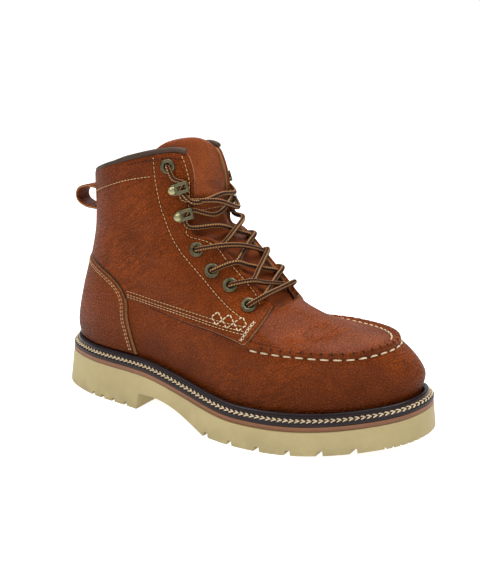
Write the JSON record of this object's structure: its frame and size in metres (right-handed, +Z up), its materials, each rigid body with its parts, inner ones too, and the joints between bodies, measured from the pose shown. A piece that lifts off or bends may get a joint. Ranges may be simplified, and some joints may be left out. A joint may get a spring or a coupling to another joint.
{
  "type": "moc toe safety boot",
  "caption": "Ankle-high lace-up leather work boot with a moc toe, a storm welt, a heeled rubber sole and a rear pull loop.",
  "frame": {"origin": "middle of the sole's outline on the floor that the boot stands on", "axes": "+X from the heel to the toe along the boot's length, +Y towards the inner (medial) side, -Y towards the outer (lateral) side, +Z up"},
  "size_m": [0.3063, 0.1183, 0.1974],
  "materials": {
    "tan_leather": "pebbled russet-tan leather",
    "tongue_leather": "smooth reddish-brown leather",
    "insole_leather": "soft lining leather",
    "dark_binding": "dark brown piping",
    "cream_rubber": "matt cream rubber",
    "brown_midsole": "matt tan-brown",
    "dark_welt": "dark, slightly glossy welt",
    "antique_brass": "antique, dulled",
    "lace_cord": "round braided cord"
  },
  "bodies": {
    "root": {"outsole": "cream_rubber", "midsole": "brown_midsole", "insole": "insole_leather", "welt": "dark_welt", "upper": "tan_leather", "heel_counter": "tan_leather", "quarter_lateral": "tan_leather", "quarter_medial": "tan_leather", "backstay": "tan_leather", "eyelet_lateral_1": "antique_brass", "eyelet_lateral_2": "antique_brass", "eyelet_lateral_3": "antique_brass", "eyelet_lateral_4": "antique_brass", "eyelet_lateral_5": "antique_brass", "lace_hook_lateral_lower": "antique_brass", "lace_hook_lateral_upper": "antique_brass", "eyelet_medial_1": "antique_brass", "eyelet_medial_2": "antique_brass", "eyelet_medial_3": "antique_brass", "eyelet_medial_4": "antique_brass", "eyelet_medial_5": "antique_brass", "lace_hook_medial_lower": "antique_brass", "lace_hook_medial_upper": "antique_brass", "tongue": "tongue_leather", "collar_binding": "dark_binding", "lace_crossings": "lace_cord", "pull_loop": "tan_leather"}
  },
  "joints": []
}
